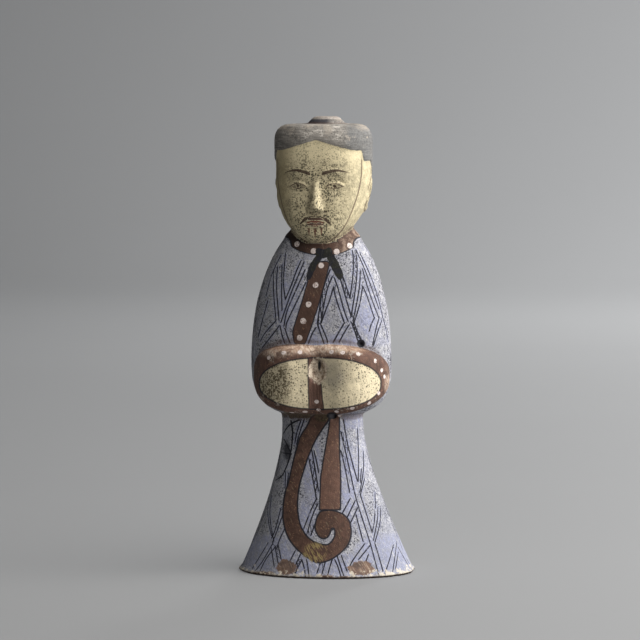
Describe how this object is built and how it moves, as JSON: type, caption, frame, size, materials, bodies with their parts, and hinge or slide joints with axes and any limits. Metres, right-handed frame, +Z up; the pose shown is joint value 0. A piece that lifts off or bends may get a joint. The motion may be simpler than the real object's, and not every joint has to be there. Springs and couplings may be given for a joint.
{
  "type": "painted pottery attendant figure",
  "caption": "Standing robed attendant with both hands hidden in joined sleeve cuffs, a tall blocky head with a low hair knot, and a skirt that flares to a flat foot.",
  "frame": {"origin": "centre of the bounding box at the flat underside of the skirt", "axes": "+Z up along the standing figure, -Y the way it faces, +X its left hand side"},
  "size_m": [0.1226, 0.099, 0.3182],
  "materials": {
    "painted_clay": "matt mineral paint over fired clay, worn and dusty"
  },
  "bodies": {
    "root": {"figure": "painted_clay"}
  },
  "joints": []
}
